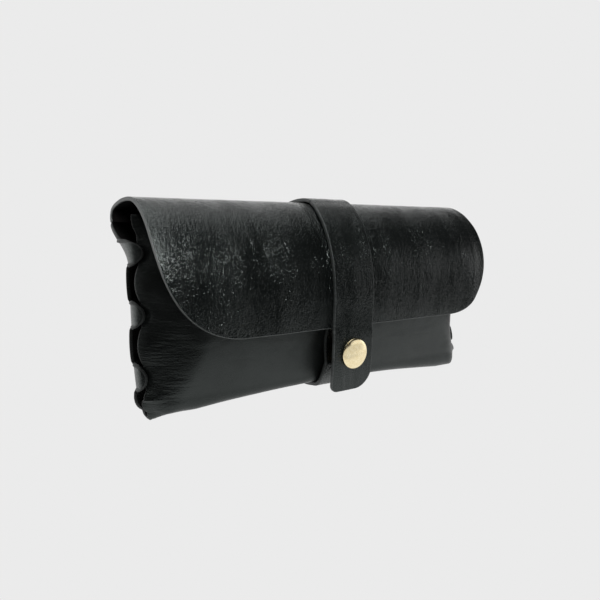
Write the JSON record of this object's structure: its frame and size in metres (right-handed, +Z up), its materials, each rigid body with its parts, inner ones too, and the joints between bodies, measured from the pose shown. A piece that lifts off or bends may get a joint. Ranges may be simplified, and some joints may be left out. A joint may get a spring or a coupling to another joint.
{
  "type": "soft pouch glasses case",
  "caption": "Soft leather pouch for glasses: folded sheet with tabbed side seams, rolled top, rounded front flap and a wrap strap with a brass snap.",
  "frame": {"origin": "middle of the underside, on the surface the case stands on, halfway along it and halfway through its depth", "axes": "+X along the case, -Y out of the front with the flap and snap, +Z up; metres, millimetres in the STEP files"},
  "size_m": [0.165, 0.0462, 0.0815],
  "materials": {
    "case_leather": "black smooth-grain leather, satin, fine puckers at the side tabs",
    "flap_leather": "black pebbled leather with a wrinkled, half-gloss surface and dark grey cut edges",
    "strap_leather": "black leather, satin, cut edges left plain",
    "cap_brass": "polished pale gold plating",
    "snap_brass": "plain brass, satin"
  },
  "bodies": {
    "pouch": {"pouch_shell": "case_leather", "wrap_strap": "strap_leather", "snap_stud": "snap_brass", "stud_rivet": "snap_brass"},
    "flap": {"flap": "flap_leather", "strap_crown": "strap_leather"},
    "tongue": {"strap_tongue": "strap_leather", "snap_cap": "cap_brass", "snap_socket": "snap_brass", "snap_spring": "snap_brass"}
  },
  "joints": [
    {"name": "flap_lift", "type": "hinge", "parent": "pouch", "child": "flap", "pos_m": [0, 0.02313, 0.071], "axis": [-1, 0, 0], "range_deg": [0, 165]},
    {"name": "tongue_lift", "type": "hinge", "parent": "flap", "child": "tongue", "pos_m": [0, -0.00932, 0.07659], "axis": [-1, 0, 0], "range_deg": [0, 150]}
  ]
}
